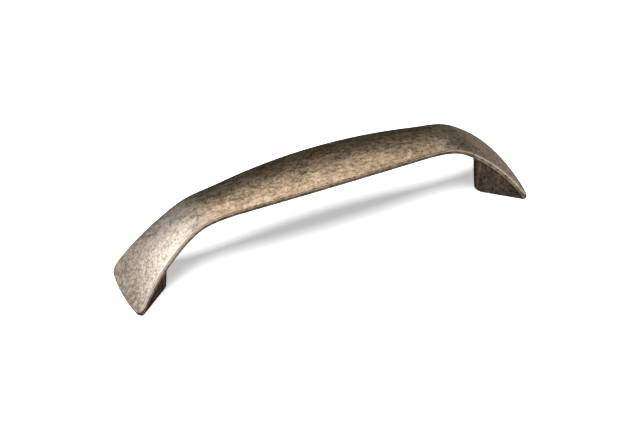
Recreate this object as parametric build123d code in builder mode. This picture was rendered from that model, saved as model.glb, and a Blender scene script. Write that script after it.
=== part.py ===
"""Bow-shaped cabinet handle, die-cast in one piece: a crowned strap on two wedge-shaped feet.

The strap is widest at its two ends, narrow at the bends and fuller again in the middle. Each foot
tapers inwards to a round nose and stands on the cabinet front, where a machine screw from behind
the front holds it. Millimetres, with +X along the handle and +Z away from the cabinet front. The
origin lies in the mounting plane, midway between the two screws.
"""

import math
import os

from build123d import *

# Fixing screws: tapped holes in the feet
hole_spacing = 128.0
tapped_hole_diameter = 3.3
tapped_hole_depth = 10.0
hole_mouth_diameter = 4.6
hole_mouth_angle = 90.0

# Crown line: the strap's highest line, seen from the side
crown_height = 33.0
arch_radius = 280.0
bend_radius = 21.3
flank_radius = 70.0
bend_inset = 21.4  # screw axis to the start of the bend
end_reach = 9.4  # screw axis to the outermost point of the foot
end_land = 0.9  # upright edge left at the outermost point

# Outline: the strap seen from above
middle_width = 20.2
waist_width = 15.4
end_width = 27.0
waist_inset = 21.3  # screw axis to the narrowest point
corner_radius = 2.0

# Cross-section of the strap
crown_angle = 22.6  # fall of the crowned top at its rims
hollow_angle = 9.0  # fall of the hollow underside at its rims
rim_thickness = 1.9
rim_upper_round = 0.7
rim_lower_bevel = 0.4

# Feet
nose_reach = 6.0  # screw axis to the inner tip of the foot
nose_radius = 4.0
rim_ledge = 0.6  # rim standing out beyond the foot, where the outer corner begins
foot_draft = 3.5
foot_fillet = 1.2

# Drawn past the finished surfaces, to be cut away
side_margin = 6.0
end_margin = 2.0
base_margin = 16.0

# Distance between the strap's sections, about
section_pitch = 3.2

# Places that follow from the sizes above
hole_x = hole_spacing / 2
tip_x = hole_x + end_reach
bend_x = hole_x - bend_inset
waist_x = hole_x - waist_inset
nose_x = hole_x - nose_reach

# Crown line as three tangent arcs: arch over the middle, bend, flank down to the tip
arch_centre = Vector(0, crown_height - arch_radius)
bend_start = arch_centre + Vector(bend_x, math.sqrt(arch_radius**2 - bend_x**2))
bend_centre = bend_start + (arch_centre - bend_start).normalized() * bend_radius
centre_gap = flank_radius - bend_radius
reach = Vector(tip_x, end_land) - bend_centre
along_reach = (reach.length**2 + centre_gap**2 - flank_radius**2) / (2 * reach.length)
across_reach = math.sqrt(centre_gap**2 - along_reach**2)
reach_direction = reach.normalized()
reach_normal = Vector(reach_direction.Y, -reach_direction.X)
flank_centre = bend_centre + reach_direction * along_reach + reach_normal * across_reach
flank_start = bend_centre + (bend_centre - flank_centre).normalized() * bend_radius

# Outline as two tangent arcs on each quarter: bulge round the middle, waist out to the tip
bulge_drop = (middle_width - waist_width) / 2
flare = (end_width - waist_width) / 2
waist_radius = ((tip_x - waist_x) ** 2 + flare**2) / (2 * flare)
bulge_radius = (waist_x**2 + bulge_drop**2) / (2 * bulge_drop) - waist_radius
turn_x = waist_x * bulge_radius / (bulge_radius + waist_radius)


def crown_point(x):
    """Height and slope angle of the crown line at a distance x from the middle."""
    x = abs(x)
    if x <= bend_start.X:
        centre, radius = arch_centre, arch_radius
    elif x <= flank_start.X:
        centre, radius = bend_centre, bend_radius
    else:
        centre, radius = flank_centre, flank_radius
    slope = math.asin((x - centre.X) / radius)
    return centre.Y + radius * math.cos(slope), slope


def half_width(x):
    """Half the strap's width at a distance x from the middle."""
    x = abs(x)
    if x <= turn_x:
        return middle_width / 2 - bulge_radius + math.sqrt(bulge_radius**2 - x**2)
    return waist_width / 2 + waist_radius - math.sqrt(waist_radius**2 - (x - waist_x) ** 2)


def arc_fall(rim_angle, rim_distance, distance):
    """Fall, at a distance from the middle, of an arc that has the given angle at the rim."""
    radius = rim_distance / math.sin(math.radians(rim_angle))
    return radius - math.sqrt(radius**2 - distance**2)


def space_below(rim_angle, rim_depth):
    """Closed space below a lengthwise surface whose sections are arcs from rim to rim.

    The sections stand upright across the handle. Each arc has the given angle at the rims, passes
    the given depth below the rims' upper edges, and is drawn on past them.
    """
    turns = (0, bend_start.X, flank_start.X, tip_x + end_margin)
    steps = [0]
    for start, end in zip(turns, turns[1:]):
        count = round((end - start) / section_pitch)
        steps += [start + (end - start) * number / count for number in range(1, count + 1)]
    with BuildPart() as space:
        for x in [-step for step in reversed(steps[1:])] + steps:
            height, slope = crown_point(x)
            width = half_width(x)
            side = width + side_margin
            rim = height - arc_fall(crown_angle, width, width) - rim_depth / math.cos(slope)
            middle = rim + arc_fall(rim_angle, width, width)
            edge = middle - arc_fall(rim_angle, width, side)
            with BuildSketch(Plane.YZ.offset(x)):
                with BuildLine():
                    ThreePointArc((-side, edge), (0, middle), (side, edge))
                    Polyline((side, edge), (side, -base_margin), (-side, -base_margin), (-side, edge))
                make_face()
        loft()
    return space.part


# Outer corners of the outline: the end edge curves so that its upright land keeps one height
end_fall = arc_fall(crown_angle, half_width(tip_x), half_width(tip_x))
corner_x = tip_x - end_fall / math.tan(crown_point(tip_x)[1])
corner = (corner_x, half_width(corner_x))

# Footprint of a foot: round nose, straight flanks that spread to just inside the outer corners
nose_centre = Vector(nose_x + nose_radius, 0)
flank_aim = Vector(corner_x - corner_radius, half_width(corner_x - corner_radius) - rim_ledge) - nose_centre
flank_angle = math.atan2(flank_aim.Y, flank_aim.X) - math.asin(nose_radius / flank_aim.length)
flank_direction = Vector(math.cos(flank_angle), math.sin(flank_angle))
base_radius = nose_radius - base_margin * math.tan(math.radians(foot_draft))
flank_near = nose_centre + Vector(-flank_direction.Y, flank_direction.X) * base_radius
flank_far = flank_near + flank_direction * ((tip_x + side_margin - flank_near.X) / flank_direction.X)

with BuildPart() as finger_space:
    add(space_below(hollow_angle, rim_thickness))
    with BuildSketch(Plane.XY.offset(-base_margin)):
        with BuildLine():
            Line(flank_far, flank_near)
            ThreePointArc(flank_near, nose_centre - (base_radius, 0), (flank_near.X, -flank_near.Y))
            Line((flank_near.X, -flank_near.Y), (flank_far.X, -flank_far.Y))
            Line((flank_far.X, -flank_far.Y), flank_far)
        make_face()
        mirror(about=Plane.YZ)
    extrude(amount=base_margin + crown_height, taper=-foot_draft, mode=Mode.SUBTRACT)
    underside = finger_space.faces().sort_by(Axis.Z)[-1]
    foot_joints = underside.edges().filter_by(lambda edge: waist_x < abs(edge.center().X) < tip_x)
    fillet(foot_joints, foot_fillet)

with BuildPart() as handle:
    # Strap and feet in one: the outline, cut to the crown above and to the finger space below
    with BuildSketch(Plane.XY.offset(-base_margin)) as outline:
        with BuildLine():
            turn = (turn_x, half_width(turn_x))
            ThreePointArc((-turn_x, turn[1]), (0, middle_width / 2), turn)
            ThreePointArc(turn, (waist_x, waist_width / 2), corner)
            ThreePointArc((-turn_x, turn[1]), (-waist_x, waist_width / 2), (-corner_x, corner[1]))
            mirror(about=Plane.XZ)
            ThreePointArc(corner, (tip_x, 0), (corner_x, -corner[1]))
            ThreePointArc((-corner_x, corner[1]), (-tip_x, 0), (-corner_x, -corner[1]))
        make_face()
        vertex_columns = outline.vertices().group_by(Axis.X)
        fillet(vertex_columns[0] + vertex_columns[-1], corner_radius)
    extrude(amount=base_margin + crown_height + side_margin)
    add(space_below(crown_angle, 0), mode=Mode.INTERSECT)
    add(finger_space.part, mode=Mode.SUBTRACT)

    # Rims rounded above and bevelled below
    crown = handle.faces().sort_by(SortBy.AREA)[-1]
    fillet(crown.edges(), rim_upper_round)
    hollow = handle.faces().sort_by(SortBy.AREA)[-2]
    walls = handle.faces().filter_by(GeomType.CYLINDER)
    chamfer(hollow.edges() & walls.edges(), rim_lower_bevel)

    # Flat seats of the feet, with the tapped holes for the screws
    split(bisect_by=Plane.XY, keep=Keep.TOP)
    with Locations(*[Location((x, 0, 0), (180, 0, 0)) for x in (-hole_x, hole_x)]):
        CounterSinkHole(
            radius=tapped_hole_diameter / 2,
            counter_sink_radius=hole_mouth_diameter / 2,
            depth=tapped_hole_depth,
            counter_sink_angle=hole_mouth_angle,
        )

os.makedirs("parts", exist_ok=True)
handle.part.label = "handle"
export_step(handle.part, "parts/handle.step")
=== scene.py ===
"""Bow-shaped cabinet handle in aged metal: finish, screw threads, floor, light and camera.

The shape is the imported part's own. Metres, watts and, unless a value says otherwise, radians, with
+X along the handle and +Z away from the cabinet front; the handle stands with its two seats on the
floor.
"""

import logging
import math
from dataclasses import dataclass
from enum import Enum

import bmesh
import bpy
from mathutils import Matrix, Vector


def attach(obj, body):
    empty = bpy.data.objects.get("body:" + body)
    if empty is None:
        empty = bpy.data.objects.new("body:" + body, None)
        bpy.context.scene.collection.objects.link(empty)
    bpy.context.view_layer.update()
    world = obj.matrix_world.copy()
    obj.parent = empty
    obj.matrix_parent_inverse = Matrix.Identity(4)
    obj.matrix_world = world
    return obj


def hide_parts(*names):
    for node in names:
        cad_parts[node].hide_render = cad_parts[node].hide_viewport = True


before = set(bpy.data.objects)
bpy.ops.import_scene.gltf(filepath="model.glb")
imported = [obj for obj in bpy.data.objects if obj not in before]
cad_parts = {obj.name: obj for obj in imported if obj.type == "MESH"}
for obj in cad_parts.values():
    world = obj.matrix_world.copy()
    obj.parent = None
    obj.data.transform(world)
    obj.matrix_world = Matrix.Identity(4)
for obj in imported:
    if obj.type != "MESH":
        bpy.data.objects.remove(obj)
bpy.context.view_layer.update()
log = logging.getLogger("handle")

Colour = tuple[float, float, float]
Point = tuple[float, float, float]
Span = tuple[float, float]
Socket = bpy.types.NodeSocket

ROOT_BODY = "root"
CASTING_NODE = "handle"
MILLIMETRE = 0.001
ACROSS_STRAP: Point = (0.0, 1.0, 0.0)
UPWARDS: Point = (0.0, 0.0, 1.0)
GRAIN_STRETCH: Point = (0.62, 1.0, 1.0)
WHOLE_RANGE: Span = (0.0, 1.0)


class Mark(Enum):
    """Attributes of the casting's mesh that the finish reads."""

    RUBBED = "rubbed"
    # Dark kept on faces that point down or stand upright: patina and painted shade.
    SHELTERED = "sheltered"


class Place(Enum):
    """Material places of the casting."""

    OUTSIDE = 0
    HOLE = 1


class Side(Enum):
    """Ends of the handle, as signs along it."""

    LEFT = -1
    RIGHT = 1


class Lit(Enum):
    """What a studio light shines on."""

    HANDLE = "lit handle"
    FLOOR = "lit floor"


def clamped(value: float) -> float:
    """Returns a value kept from 0 to 1."""
    return min(max(value, 0.0), 1.0)


def sheet(width: float, depth: float) -> bmesh.types.BMesh:
    """Makes a flat rectangle round the origin.

    Args:
        width: size along X.
        depth: size along Y.

    Returns:
        The rectangle's shape.
    """
    shape = bmesh.new()
    bmesh.ops.create_grid(shape, x_segments=1, y_segments=1, size=0.5)
    bmesh.ops.scale(shape, verts=shape.verts, vec=(width, depth, 1.0))
    return shape


def as_object(shape: bmesh.types.BMesh, name: str) -> bpy.types.Object:
    """Makes a finished shape an object of the scene.

    Args:
        shape: shape, which is used up.
        name: name of the object and of its mesh.

    Returns:
        The new object.
    """
    mesh = bpy.data.meshes.new(name)
    shape.to_mesh(mesh)
    shape.free()
    made = bpy.data.objects.new(name, mesh)
    bpy.context.scene.collection.objects.link(made)
    return made


def stood(place: Vector, right: Vector, up: Vector, back: Vector) -> Matrix:
    """Returns the matrix that puts a lamp or a camera in its place, with its own axes turned as given."""
    return Matrix.Translation(place) @ Matrix((right, up, back)).transposed().to_4x4()


@dataclass(frozen=True)
class Pattern:
    """Noise pattern: waves per metre, number of finer layers, their strength, and a stretch by axis."""

    scale: float
    detail: float = 2.0
    roughness: float = 0.55
    stretch: Point = (1.0, 1.0, 1.0)


class NodeGraph:
    """Node tree of one material or world, with short calls that add and link nodes."""

    def __init__(self, owner: bpy.types.Material | bpy.types.World) -> None:
        """Empties the owner's node tree and keeps it.

        Args:
            owner: material or world whose nodes are made.
        """
        owner.use_nodes = True
        self.owner = owner
        self.tree = owner.node_tree
        self.tree.nodes.clear()

    def add(self, kind: str, **settings: object) -> bpy.types.Node:
        """Adds a node and sets its properties.

        Args:
            kind: Blender's name of the node type.
            settings: properties of the node.

        Returns:
            The new node.
        """
        node = self.tree.nodes.new(kind)
        for name, value in settings.items():
            setattr(node, name, value)
        return node

    def put(self, target: Socket, value: object) -> None:
        """Links a socket into the target, or sets the target to a plain value.

        Args:
            target: input socket.
            value: output socket, number or colour.
        """
        if isinstance(value, Socket):
            self.tree.links.new(value, target)
        else:
            target.default_value = value

    def fill(self, node: bpy.types.Node, values: dict[str | int, object]) -> None:
        """Puts values into a node's inputs, by the inputs' names or numbers."""
        for key, value in values.items():
            self.put(node.inputs[key], value)

    def place(self) -> Socket:
        """Adds the piece's own coordinates and returns them."""
        return self.add("ShaderNodeTexCoord").outputs["Object"]

    def off_middle(self, place: Socket) -> Socket:
        """Adds the distance from the middle of the handle, along it.

        Args:
            place: coordinates.

        Returns:
            The distance.
        """
        split = self.add("ShaderNodeSeparateXYZ")
        self.fill(split, {"Vector": place})
        return self.math("ABSOLUTE", split.outputs["X"], 0.0)

    def noise(self, place: Socket, pattern: Pattern) -> Socket:
        """Adds a noise pattern.

        Args:
            place: coordinates.
            pattern: the pattern's sizes.

        Returns:
            The pattern's value.
        """
        stretched = self.add("ShaderNodeMapping")
        self.fill(stretched, {"Vector": place, "Scale": pattern.stretch})
        node = self.add("ShaderNodeTexNoise")
        self.fill(
            node,
            {
                "Vector": stretched.outputs["Vector"],
                "Scale": pattern.scale,
                "Detail": pattern.detail,
                "Roughness": pattern.roughness,
            },
        )
        return node.outputs["Fac"]

    def ramp(self, value: Socket, limits: Span, results: Span = WHOLE_RANGE) -> Socket:
        """Adds a smooth ramp between two values.

        Args:
            value: number to be mapped.
            limits: values at which the ramp starts and ends.
            results: what the ramp gives at its start and its end.

        Returns:
            The mapped number.
        """
        node = self.add("ShaderNodeMapRange", interpolation_type="SMOOTHSTEP")
        for name, number in zip(("From Min", "From Max", "To Min", "To Max"), (*limits, *results)):
            self.put(node.inputs[name], number)
        self.put(node.inputs["Value"], value)
        return node.outputs["Result"]

    def math(self, operation: str, first: object, second: object) -> Socket:
        """Adds a calculation with two numbers.

        Args:
            operation: Blender's name of the operation.
            first: number or socket.
            second: number or socket.

        Returns:
            The result.
        """
        node = self.add("ShaderNodeMath", operation=operation)
        self.fill(node, {0: first, 1: second})
        return node.outputs["Value"]

    def product(self, first: object, second: object) -> Socket:
        """Adds a multiplication and returns its result."""
        return self.math("MULTIPLY", first, second)

    def rest(self, share: Socket) -> Socket:
        """Adds what a share leaves of 1 and returns it."""
        return self.math("SUBTRACT", 1.0, share)

    def weighted(self, *terms: tuple[Socket, object]) -> Socket:
        """Adds a sum of values, each with a weight of its own.

        Args:
            terms: each value with its weight.

        Returns:
            The sum.
        """
        total = self.product(*terms[0])
        for value, weight in terms[1:]:
            total = self.math("ADD", total, self.product(value, weight))
        return total

    def blend(self, factor: Socket, first: object, second: object) -> Socket:
        """Adds a mix of two colours.

        Args:
            factor: share of the second colour.
            first: colour or socket.
            second: colour or socket.

        Returns:
            The mixed colour.
        """
        node = self.add("ShaderNodeMix", data_type="RGBA")
        self.put(node.inputs["Factor"], factor)
        for name, value in (("A", first), ("B", second)):
            socket = next(entry for entry in node.inputs if entry.name == name and entry.type == "RGBA")
            self.put(socket, (*value, 1.0) if isinstance(value, tuple) else value)
        return next(entry for entry in node.outputs if entry.type == "RGBA")

    def mark(self, mark: Mark) -> Socket:
        """Adds a reader of one of the mesh's attributes and returns its value."""
        return self.add("ShaderNodeAttribute", attribute_name=mark.value).outputs["Fac"]

    def finish(
        self, surface: Socket, kind: str = "ShaderNodeOutputMaterial"
    ) -> bpy.types.Material | bpy.types.World:
        """Adds the output, links the last shader into it and returns the material or world."""
        self.fill(self.add(kind), {"Surface": surface})
        return self.owner


@dataclass(frozen=True)
class SurfaceReading:
    """What the aged finish reads at a point: its place, how far it is an end, and its patina and painted
    shade.
    """

    place: Socket
    off_middle: Socket
    sheltered: Socket
    open_end: Socket


@dataclass(frozen=True)
class AgedMetal:
    """Antique finish: dark patina in the pits, rubbed back to warm metal on what stands out; partly
    painted shade and highlight.

    The spans from end_span to nose_span are distances from the middle of the handle, where a change
    starts and where it is complete. The limits are values of a pattern or of the wear.
    """

    bare: Colour = (0.69, 0.525, 0.36)
    worn: Colour = (0.483, 0.356, 0.234)
    patina: Colour = (0.096, 0.064, 0.040)
    # Paler patina and pale worn metal at the ends: partly wear, partly a painted highlight.
    end_patina_and_highlight: Colour = (0.245, 0.184, 0.140)
    end_wear_and_highlight: Colour = (0.72, 0.615, 0.53)
    # Dark tones of faces that point down: streaked near the noses, darkest on the outer feet; partly
    # patina, partly painted shade.
    stain: Colour = (0.120, 0.089, 0.066)
    shade: Colour = (0.030, 0.022, 0.017)
    glancing: Colour = (0.22, 0.20, 0.18)

    end_span: Span = (36.0 * MILLIMETRE, 58.0 * MILLIMETRE)
    # Rubbed rim grows stronger from here outwards, partly as a painted highlight at the bends.
    rim_wear_and_highlight_span: Span = (28.0 * MILLIMETRE, 42.0 * MILLIMETRE)
    dull_span: Span = (34.0 * MILLIMETRE, 52.0 * MILLIMETRE)
    # Darker towards the tips of the ends, as painted shade.
    tip_shade_span: Span = (65.0 * MILLIMETRE, 73.0 * MILLIMETRE)
    nose_span: Span = (67.0 * MILLIMETRE, 59.0 * MILLIMETRE)

    speckle: Pattern = Pattern(2000.0, roughness=0.5, stretch=GRAIN_STRETCH)
    fleck: Pattern = Pattern(900.0, roughness=0.5, stretch=GRAIN_STRETCH)
    blotch: Pattern = Pattern(330.0, detail=3.0, stretch=GRAIN_STRETCH)
    streak: Pattern = Pattern(700.0, detail=3.0, stretch=(1.0, 1.0, 0.10))

    speckle_weight: float = 0.50
    fleck_weight: float = 0.45
    blotch_weight: float = 0.30
    end_weight: float = -0.05
    # More patina towards the tips: painted shade.
    tip_shade_weight: float = -0.07
    # Faces that point down or stand upright wear less: kept patina and painted shade.
    patina_and_shade_weight: float = -0.12
    # Strength of the rubbed rim, in the middle and beyond the bends: wear and a painted highlight.
    rim_wear_and_highlight_weights: Span = (0.05, 0.13)

    rubbed_limits: Span = (0.58, 0.74)
    streak_limits: Span = (0.40, 0.65)
    cover_limits: Span = (0.40, 0.74)
    shine_limits: Span = (0.64, 0.84)
    # Share of the wear held back there, partly as painted shade.
    patina_and_shade_cover: float = 0.75
    # How far worn metal at the ends turns pale: wear and a painted highlight.
    end_pale_share_and_highlight: float = 0.80

    metallic: Span = (0.85, 1.0)
    roughness: Span = (0.33, 0.44)
    end_dulling: float = 0.075
    bump_strength: Span = (0.80, 0.30)
    bump_height: float = 0.17 * MILLIMETRE

    def make(self) -> bpy.types.Material:
        """Makes the material.

        Returns:
            The finish of the casting's outside.
        """
        graph = NodeGraph(bpy.data.materials.new("aged metal"))
        reading = self.read(graph)
        level = self.level(graph, reading)
        # Faces that point down or stand upright keep their dark tones: patina and painted shade.
        hidden = graph.product(reading.sheltered, self.patina_and_shade_cover)
        cover = graph.product(graph.ramp(level, self.cover_limits), graph.rest(hidden))
        roughness = graph.ramp(cover, WHOLE_RANGE, self.roughness)
        dulling = graph.ramp(reading.off_middle, self.dull_span, (0.0, self.end_dulling))

        bump = graph.add("ShaderNodeBump")
        strength = graph.ramp(reading.off_middle, self.dull_span, self.bump_strength)
        graph.fill(bump, {"Strength": strength, "Distance": self.bump_height, "Height": level})
        shader = graph.add("ShaderNodeBsdfPrincipled")
        graph.fill(
            shader,
            {
                "Base Color": self.colour(graph, reading, level, cover),
                "Metallic": graph.ramp(cover, WHOLE_RANGE, self.metallic),
                "Roughness": graph.math("ADD", roughness, dulling),
                "Specular Tint": (*self.glancing, 1.0),
                "Normal": bump.outputs["Normal"],
            },
        )
        return graph.finish(shader.outputs["BSDF"])

    def read(self, graph: NodeGraph) -> SurfaceReading:
        """Adds what the finish reads off the surface.

        Args:
            graph: the material's nodes.

        Returns:
            The readings.
        """
        place = graph.place()
        off_middle = graph.off_middle(place)
        # How dark a face is kept, read off the casting's mesh: patina and painted shade.
        sheltered = graph.mark(Mark.SHELTERED)
        open_end = graph.product(graph.ramp(off_middle, self.end_span), graph.rest(sheltered))
        return SurfaceReading(place, off_middle, sheltered, open_end)

    def level(self, graph: NodeGraph, reading: SurfaceReading) -> Socket:
        """Adds how far the surface stands out of its patina: the grain, the places of wear, a painted
        highlight at the bends and painted shade.

        Args:
            graph: the material's nodes.
            reading: what was read off the surface.

        Returns:
            The level.
        """
        rubbed = graph.ramp(graph.mark(Mark.RUBBED), self.rubbed_limits)
        # Rubbed rim stronger towards the bends and ends: wear and a painted highlight.
        rim_wear_and_highlight = graph.ramp(reading.off_middle, self.rim_wear_and_highlight_span, self.rim_wear_and_highlight_weights)
        return graph.weighted(
            (graph.noise(reading.place, self.speckle), self.speckle_weight),
            (graph.noise(reading.place, self.fleck), self.fleck_weight),
            (graph.noise(reading.place, self.blotch), self.blotch_weight),
            (reading.open_end, self.end_weight),
            # Tips of the ends darker: painted shade.
            (graph.ramp(reading.off_middle, self.tip_shade_span), self.tip_shade_weight),
            (rubbed, rim_wear_and_highlight),
            (reading.sheltered, self.patina_and_shade_weight),
        )

    def colour(self, graph: NodeGraph, reading: SurfaceReading, level: Socket, cover: Socket) -> Socket:
        """Adds the colours, from the patina up to the bare metal, with painted shade and a painted
        highlight.

        Args:
            graph: the material's nodes.
            reading: what was read off the surface.
            level: how far the surface stands out of its patina.
            cover: share of worn metal.

        Returns:
            The colour.
        """
        streak = graph.ramp(graph.noise(reading.place, self.streak), self.streak_limits)
        # Faces that point down take these tones, darkest on the outer feet: patina and painted shade.
        nose = graph.ramp(reading.off_middle, self.nose_span)
        foot = graph.blend(graph.product(streak, nose), self.shade, self.stain)
        # Paler patina at the ends, partly a painted highlight.
        dark = graph.blend(reading.open_end, self.patina, self.end_patina_and_highlight)
        dark = graph.blend(reading.sheltered, dark, foot)
        shine = graph.product(graph.ramp(level, self.shine_limits), graph.rest(reading.sheltered))
        # Worn metal at the ends turns pale: wear and a painted highlight.
        pale_end_and_highlight = graph.product(reading.open_end, graph.product(cover, self.end_pale_share_and_highlight))
        colour = graph.blend(cover, dark, self.worn)
        colour = graph.blend(shine, colour, self.bare)
        return graph.blend(pale_end_and_highlight, colour, self.end_wear_and_highlight)


@dataclass(frozen=True)
class CutMetal:
    """Plain metal of the cored and tapped holes, with fine lines round the hole."""

    pale: Colour = (0.42, 0.40, 0.38)
    dull: Colour = (0.20, 0.19, 0.18)
    lines: Pattern = Pattern(9000.0, stretch=(0.05, 0.05, 1.0))
    stain: Pattern = Pattern(700.0, detail=3.0)
    pattern_weight: float = 0.5
    pale_limits: Span = (0.35, 0.65)
    roughness: float = 0.38

    def make(self) -> bpy.types.Material:
        """Makes the material.

        Returns:
            The finish of the holes and their threads.
        """
        graph = NodeGraph(bpy.data.materials.new("cut metal"))
        place = graph.place()
        patterns = [graph.noise(place, pattern) for pattern in (self.lines, self.stain)]
        level = graph.weighted(*[(pattern, self.pattern_weight) for pattern in patterns])
        colour = graph.blend(graph.ramp(level, self.pale_limits), self.dull, self.pale)
        shader = graph.add("ShaderNodeBsdfPrincipled")
        graph.fill(shader, {"Base Color": colour, "Metallic": 1.0, "Roughness": self.roughness})
        return graph.finish(shader.outputs["BSDF"])


@dataclass(frozen=True)
class PaleFloor:
    """White sheet that stays white behind the handle and keeps its shadow."""

    colour: Colour = (0.92, 0.92, 0.92)
    reflected: Colour = (0.30, 0.30, 0.30)
    glow: float = 0.50

    def make(self) -> bpy.types.Material:
        """Makes the material.

        Returns:
            The floor's finish.
        """
        graph = NodeGraph(bpy.data.materials.new("white sheet"))
        path = graph.add("ShaderNodeLightPath").outputs
        diffuse = graph.add("ShaderNodeBsdfDiffuse")
        graph.fill(diffuse, {"Color": graph.blend(path["Is Camera Ray"], self.reflected, self.colour)})
        seen = graph.math("MAXIMUM", path["Is Camera Ray"], path["Is Glossy Ray"])
        seen = graph.math("MAXIMUM", seen, path["Is Transmission Ray"])
        glow = graph.add("ShaderNodeEmission")
        graph.fill(glow, {"Strength": graph.product(seen, self.glow)})
        both = graph.add("ShaderNodeAddShader")
        graph.fill(both, {0: diffuse.outputs["BSDF"], 1: glow.outputs["Emission"]})
        return graph.finish(both.outputs["Shader"])


@dataclass(frozen=True)
class TappedHole:
    """Sizes of the screw holes, one in each foot."""

    spacing: float = 128.0 * MILLIMETRE
    mouth_reach: float = 2.4 * MILLIMETRE
    depth: float = 10.0 * MILLIMETRE
    core_radius: float = 1.65 * MILLIMETRE
    thread_radius: float = 2.00 * MILLIMETRE
    thread_end: float = 9.30 * MILLIMETRE
    tolerance: float = 0.05 * MILLIMETRE

    def x(self, side: Side) -> float:
        """Returns where a hole lies along the handle."""
        return side.value * self.spacing / 2

    def axis(self, side: Side) -> Vector:
        """Returns the point of a hole's axis that lies on the seat."""
        return Vector((self.x(side), 0.0, 0.0))

    def is_on_core(self, point: Vector, side: Side) -> bool:
        """Whether a point lies on the core wall of a hole."""
        on_wall = abs((point - self.axis(side)).xy.length - self.core_radius) < self.tolerance
        return on_wall and point.z < self.depth + self.tolerance


@dataclass
class Casting:
    """The handle itself: strap and feet in one piece.

    The leans are heights of a face's normal: 1 for a level face, 0 for an upright one. The rim's
    starts and ends are distances from the middle of the handle.
    """

    hole: TappedHole = TappedHole()
    seat_level: float = 0.02 * MILLIMETRE
    merge_distance: float = 0.001 * MILLIMETRE
    sharp_angle: float = 0.70
    fold_angle: float = 0.05
    tight_curve: float = 0.8 / MILLIMETRE
    strip_width: float = 0.40 * MILLIMETRE
    wall_lean: float = 0.03
    crown_lean: float = 0.30
    lean_fade: float = 0.25
    lower_rim_start: float = 46.0 * MILLIMETRE
    # Paler crown band beside the rim at the bends: wear and a painted highlight.
    upper_rim_start: float = 34.0 * MILLIMETRE
    upper_rim_end: float = 64.0 * MILLIMETRE
    rim_fade: float = 8.0 * MILLIMETRE
    crown_wear_and_highlight_share: float = 0.80
    # Upright rim faces kept dark in the middle and at the ends: patina and painted shade.
    middle_patina_and_shade: float = 0.92
    outer_patina_and_shade: float = 0.72

    def build(self) -> bpy.types.Object:
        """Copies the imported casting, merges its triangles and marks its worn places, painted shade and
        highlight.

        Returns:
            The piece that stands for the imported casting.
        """
        shape = bmesh.new()
        shape.from_mesh(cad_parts[CASTING_NODE].data)
        bmesh.ops.remove_doubles(shape, verts=shape.verts, dist=self.merge_distance)
        for side in Side:
            self.open_hole(shape, side)
        shape.normal_update()
        self.mark_wear(shape)
        for face in shape.faces:
            face.smooth = True
            face.material_index = self.place_of(face).value
        for edge in shape.edges:
            edge.smooth = edge.is_manifold and edge.calc_face_angle() < self.sharp_angle
        return as_object(shape, "casting")

    def open_hole(self, shape: bmesh.types.BMesh, side: Side) -> None:
        """Widens a screw hole from its core to the outside of its thread, short of the bottom.

        Args:
            shape: merged mesh of the casting.
            side: end of the handle.
        """
        hole = self.hole
        wall = {vert for vert in shape.verts if hole.is_on_core(vert.co, side)}
        faces = [face for face in shape.faces if wall.issuperset(face.verts)]
        edges = {edge for face in faces for edge in face.edges}
        bmesh.ops.bisect_plane(
            shape, geom=[*faces, *edges, *wall], plane_co=(0.0, 0.0, hole.thread_end), plane_no=UPWARDS
        )
        wall = {vert for vert in shape.verts if hole.is_on_core(vert.co, side)}
        threaded = [vert for vert in wall if vert.co.z < hole.thread_end + hole.tolerance]
        mouth = [vert for vert in threaded if vert.co.z < hole.thread_end - hole.tolerance]
        share = hole.thread_radius / hole.core_radius
        on_axis = Matrix.Translation(-hole.axis(side))
        bmesh.ops.scale(shape, verts=threaded, vec=(share, share, 1.0), space=on_axis)
        bmesh.ops.translate(shape, verts=mouth, vec=(0.0, 0.0, hole.core_radius - hole.thread_radius))

    def place_of(self, face: bmesh.types.BMFace) -> Place:
        """Tells a face of a screw hole from the outside.

        Args:
            face: face of the casting.

        Returns:
            Where the face belongs.
        """
        centre = face.calc_center_median()
        off_axis = math.hypot(abs(centre.x) - self.hole.spacing / 2, centre.y)
        above_seat = self.seat_level < centre.z < self.hole.depth + self.seat_level
        return Place.HOLE if above_seat and off_axis < self.hole.mouth_reach else Place.OUTSIDE

    def mark_wear(self, shape: bmesh.types.BMesh) -> None:
        """Writes how rubbed each corner is, partly as painted highlight, and how dark each face is kept by
        patina and painted shade.

        Args:
            shape: merged mesh of the casting.
        """
        rubbed = shape.loops.layers.float.new(Mark.RUBBED.value)
        sheltered = shape.faces.layers.float.new(Mark.SHELTERED.value)
        walls = {face for face in shape.faces if abs(face.normal.z) < self.wall_lean}
        strips = self.rounded_strips(shape)
        lower = {vert for edge in shape.edges if self.is_lower(edge, walls) for vert in edge.verts}
        upper = {vert for face in strips for vert in face.verts}
        for face in shape.faces:
            # Faces that point down or stand upright are kept dark: patina and painted shade.
            face[sheltered] = self.patina_and_shade_of(face)
            for loop in face.loops:
                x = loop.vert.co.x
                if face in strips:
                    loop[rubbed] = 1.0
                elif face in walls and loop.vert in lower:
                    loop[rubbed] = self.set_in(x, self.lower_rim_start)
                # Crown beside the rim turns paler at the bends: wear and a painted highlight.
                elif face not in walls and loop.vert in upper:
                    stretch = self.set_in(x, self.upper_rim_start) - self.set_in(x, self.upper_rim_end)
                    loop[rubbed] = self.crown_wear_and_highlight_share * stretch

    def rounded_strips(self, shape: bmesh.types.BMesh) -> set[bmesh.types.BMFace]:
        """Finds the narrow faces of the rounded upper rim.

        Args:
            shape: merged mesh of the casting.

        Returns:
            The faces over which the rim turns, and those next to them.
        """
        narrow = {face for face in shape.faces if face.normal.z > self.wall_lean and self.is_narrow(face)}
        tight = {face for edge in shape.edges if self.is_tight(edge) for face in edge.link_faces} & narrow
        beside = {near for face in tight for edge in face.edges for near in edge.link_faces} & narrow
        return tight | beside

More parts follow.
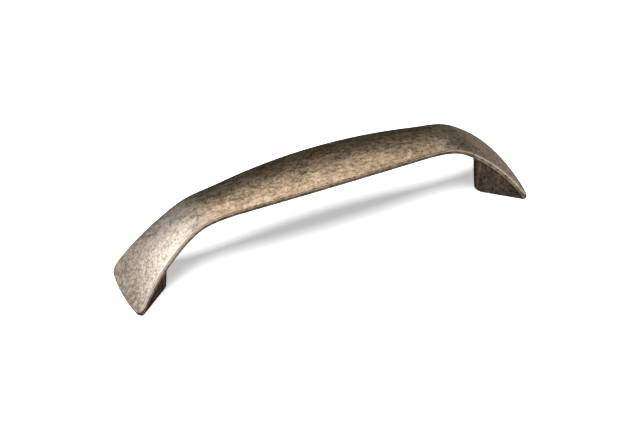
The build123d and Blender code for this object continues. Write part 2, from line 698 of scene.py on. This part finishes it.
    def set_in(self, x: float, start: float) -> float:
        """Returns how far what starts at a distance from the middle has set in at x."""
        return clamped((abs(x) - start) / self.rim_fade)

    def patina_and_shade_of(self, face: bmesh.types.BMFace) -> float:
        """Tells how dark a face is kept: partly patina not rubbed off, partly painted shade.

        Args:
            face: face of the casting.

        Returns:
            1 for feet and underside, less for the rim's upright faces and 0 for the crown.
        """
        if face.normal.z < -self.wall_lean:
            return 1.0
        end = self.set_in(face.calc_center_median().x, self.lower_rim_start)
        share = self.middle_patina_and_shade + end * (self.outer_patina_and_shade - self.middle_patina_and_shade)
        return share * clamped((self.crown_lean - face.normal.z) / self.lean_fade)

    def is_lower(self, edge: bmesh.types.BMEdge, walls: set[bmesh.types.BMFace]) -> bool:
        """Whether an edge bounds an upright face of the rim from below."""
        under = any(face.normal.z < -self.wall_lean for face in edge.link_faces)
        return under and any(face in walls for face in edge.link_faces)

    def is_tight(self, edge: bmesh.types.BMEdge) -> bool:
        """Tells whether the surface turns outwards over an edge as sharply as a rounded rim does.

        Args:
            edge: edge of the casting.

        Returns:
            Whether the turn is a sharp one.
        """
        if not edge.is_manifold:
            return False
        step = sum(face.calc_area() for face in edge.link_faces) / edge.calc_length()
        angle = edge.calc_face_angle_signed()
        return angle > self.fold_angle and angle > self.tight_curve * step

    def is_narrow(self, face: bmesh.types.BMFace) -> bool:
        """Whether a face is as narrow as the strips of a rounded rim."""
        longest = max(edge.calc_length() for edge in face.edges)
        return 2 * face.calc_area() < self.strip_width * longest

    def dress(self, piece: bpy.types.Object) -> None:
        """Gives the piece its finishes and sets it in the frame.

        Args:
            piece: piece from build.
        """
        piece.data.materials.append(AgedMetal().make())
        piece.data.materials.append(CutMetal().make())
        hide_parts(CASTING_NODE)
        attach(piece, ROOT_BODY)


@dataclass
class ScrewThread:
    """Thread ridge in one tapped hole of a foot, set a little into the hole's wall."""

    hole: TappedHole
    side: Side
    overlap: float = 0.01 * MILLIMETRE
    pitch: float = 0.70 * MILLIMETRE
    crest: float = 0.20 * MILLIMETRE
    root: float = 0.61 * MILLIMETRE
    start: float = 0.45 * MILLIMETRE
    turns: int = 12
    steps_per_turn: int = 28

    def build(self) -> bpy.types.Object:
        """Winds the ridge's section up the hole.

        Returns:
            The thread's piece.
        """
        x = self.hole.x(self.side)
        inner = self.hole.core_radius
        outer = self.hole.thread_radius + self.overlap
        section = (
            (outer, -self.root / 2),
            (inner, -self.crest / 2),
            (inner, self.crest / 2),
            (outer, self.root / 2),
        )
        middle = self.start + self.root / 2
        shape = bmesh.new()
        first = shape.faces.new(
            [shape.verts.new((x + radius, 0.0, middle + rise)) for radius, rise in section]
        )
        bmesh.ops.spin(
            shape,
            geom=[first, *first.edges, *first.verts],
            cent=(x, 0.0, 0.0),
            axis=UPWARDS,
            dvec=(0.0, 0.0, self.pitch / self.steps_per_turn),
            angle=math.tau * self.turns,
            steps=self.turns * self.steps_per_turn,
            space=Matrix.Identity(4),
        )
        bmesh.ops.recalc_face_normals(shape, faces=shape.faces)
        return as_object(shape, f"{self.side.name.lower()}_thread")

    def dress(self, piece: bpy.types.Object, finish: bpy.types.Material) -> None:
        """Gives the thread its finish and sets it in the frame.

        Args:
            piece: piece from build.
            finish: material of the cut metal.
        """
        piece.data.materials.append(finish)
        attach(piece, ROOT_BODY)


@dataclass(frozen=True)
class SoftBox:
    """Rectangular studio light that faces the handle, with its width along the run."""

    name: str
    place: Point
    width: float
    height: float
    power: float
    run: Point = (1.0, 0.0, 0.0)
    aim: Point = (0.0, 0.0, 0.02)
    colour: Colour = (1.0, 1.0, 1.0)
    lit: Lit = Lit.HANDLE

    def build(self, receivers: dict[Lit, bpy.types.Collection]) -> bpy.types.Object:
        """Makes the lamp.

        Args:
            receivers: what the handle's lights and the floor's light shine on.

        Returns:
            The lamp's object.
        """
        data = bpy.data.lights.new(self.name, "AREA")
        data.shape = "RECTANGLE"
        data.size = self.width
        data.size_y = self.height
        data.energy = self.power
        data.color = self.colour
        lamp = bpy.data.objects.new(self.name, data)
        back = (Vector(self.place) - Vector(self.aim)).normalized()
        right = (Vector(self.run) - back * back.dot(Vector(self.run))).normalized()
        lamp.matrix_world = stood(Vector(self.place), right, back.cross(right), back)
        lamp.light_linking.receiver_collection = receivers[self.lit]
        bpy.context.scene.collection.objects.link(lamp)
        return lamp


@dataclass(frozen=True)
class DarkFlag:
    """Dark upright card behind the handle, hidden from the camera and without a shadow of its own."""

    left: float = -0.192
    right: float = 0.155
    height: float = 0.19
    distance: float = 0.12
    colour: Colour = (0.020, 0.020, 0.020)
    nap_colour: Colour = (0.012, 0.012, 0.012)
    nap: Pattern = Pattern(400.0)

    def build(self) -> bpy.types.Object:
        """Makes the card.

        Returns:
            The card's object.
        """
        shape = sheet(self.right - self.left, self.height)
        middle = (self.left + self.right) / 2
        bmesh.ops.rotate(shape, verts=shape.verts, matrix=Matrix.Rotation(math.pi / 2, 3, "X"))
        bmesh.ops.translate(shape, verts=shape.verts, vec=(middle, self.distance, self.height / 2))
        card = as_object(shape, "dark_flag")
        card.data.materials.append(self.felt())
        card.visible_camera = False
        card.visible_shadow = False
        return card

    def felt(self) -> bpy.types.Material:
        """Makes the card's felt.

        Returns:
            The dark material.
        """
        graph = NodeGraph(bpy.data.materials.new("dark felt"))
        nap = graph.noise(graph.place(), self.nap)
        diffuse = graph.add("ShaderNodeBsdfDiffuse")
        graph.fill(diffuse, {"Color": graph.blend(nap, self.colour, self.nap_colour)})
        return graph.finish(diffuse.outputs["BSDF"])


@dataclass
class Studio:
    """White floor, soft lights and dim surroundings."""

    floor_size: float = 8.0
    floor_level: float = -0.1 * MILLIMETRE
    surroundings: Colour = (0.02, 0.02, 0.02)
    lights: tuple[SoftBox, ...] = (
        SoftBox(
            "left light",
            place=(-0.97, 0.32, 0.67),
            width=1.32,
            height=0.92,
            power=14.0,
            run=ACROSS_STRAP,
            colour=(0.85, 0.93, 1.0),
        ),
        SoftBox("top light", place=(0.12, 0.10, 1.20), width=1.30, height=0.95, power=9.1),
        SoftBox(
            "floor light",
            place=(-0.20, -0.29, 1.20),
            width=0.50,
            height=0.68,
            power=36.0,
            lit=Lit.FLOOR,
        ),
        SoftBox("front light", place=(0.0, -1.15, 0.30), width=1.60, height=0.40, power=2.8),
    )

    def build(self, handle_pieces: list[bpy.types.Object]) -> None:
        """Makes the floor, the lights and the world.

        Args:
            handle_pieces: pieces that the handle's lights shine on.
        """
        shape = sheet(self.floor_size, self.floor_size)
        bmesh.ops.translate(shape, verts=shape.verts, vec=(0.0, 0.0, self.floor_level))
        floor = as_object(shape, "floor")
        floor.data.materials.append(PaleFloor().make())
        DarkFlag().build()
        receivers = {lit: bpy.data.collections.new(lit.value) for lit in Lit}
        for piece in handle_pieces:
            receivers[Lit.HANDLE].objects.link(piece)
        receivers[Lit.FLOOR].objects.link(floor)
        for light in self.lights:
            light.build(receivers)
        self.surround()

    def surround(self) -> None:
        """Sets the dim light that comes from all round."""
        graph = NodeGraph(bpy.data.worlds.new("studio room"))
        background = graph.add("ShaderNodeBackground")
        graph.fill(background, {"Color": (*self.surroundings, 1.0)})
        bpy.context.scene.world = graph.finish(background.outputs["Background"], "ShaderNodeOutputWorld")


@dataclass(frozen=True)
class PhotoCamera:
    """Camera at the photograph's viewing angle: angles in degrees, picture sizes in pixels."""

    heading: float = 65.21
    elevation: float = 41.56
    roll: float = 0.39
    distance: float = 0.8805
    target: Point = (0.0, 0.0, 0.010)
    focal_pixels: float = 2602.0
    image_width: float = 640.0
    shift_right: float = 3.6
    shift_down: float = -7.6
    sensor_width: float = 36.0

    def build(self) -> bpy.types.Object:
        """Makes the camera and makes it the scene's own.

        Returns:
            The camera's object.
        """
        turn = math.radians(self.heading)
        rise = math.radians(self.elevation)
        lean = math.radians(self.roll)
        ahead = Vector((math.cos(turn) * math.cos(rise), math.sin(turn) * math.cos(rise), -math.sin(rise)))
        level = Vector((math.sin(turn), -math.cos(turn), 0.0))
        upright = level.cross(ahead)
        right = level * math.cos(lean) + upright * math.sin(lean)
        up = upright * math.cos(lean) - level * math.sin(lean)
        data = bpy.data.cameras.new("camera")
        data.sensor_width = self.sensor_width
        data.lens = self.sensor_width * self.focal_pixels / self.image_width
        data.shift_x = -self.shift_right / self.image_width
        data.shift_y = self.shift_down / self.image_width
        camera = bpy.data.objects.new("camera", data)
        camera.matrix_world = stood(Vector(self.target) - ahead * self.distance, right, up, -ahead)
        bpy.context.scene.collection.objects.link(camera)
        bpy.context.scene.camera = camera
        return camera


def main() -> None:
    """Builds and dresses the pieces in order and sets up the studio."""
    logging.basicConfig(level=logging.INFO)
    bpy.context.scene.view_settings.view_transform = "Standard"
    casting = Casting()
    piece = casting.build()
    casting.dress(piece)
    pieces = [piece]
    for side in Side:
        thread = ScrewThread(casting.hole, side)
        ridge = thread.build()
        thread.dress(ridge, piece.data.materials[Place.HOLE.value])
        pieces.append(ridge)
    for made in pieces:
        log.info("%s: %d faces", made.name, len(made.data.polygons))
    Studio().build(pieces)
    PhotoCamera().build()


if __name__ == "__main__":
    main()
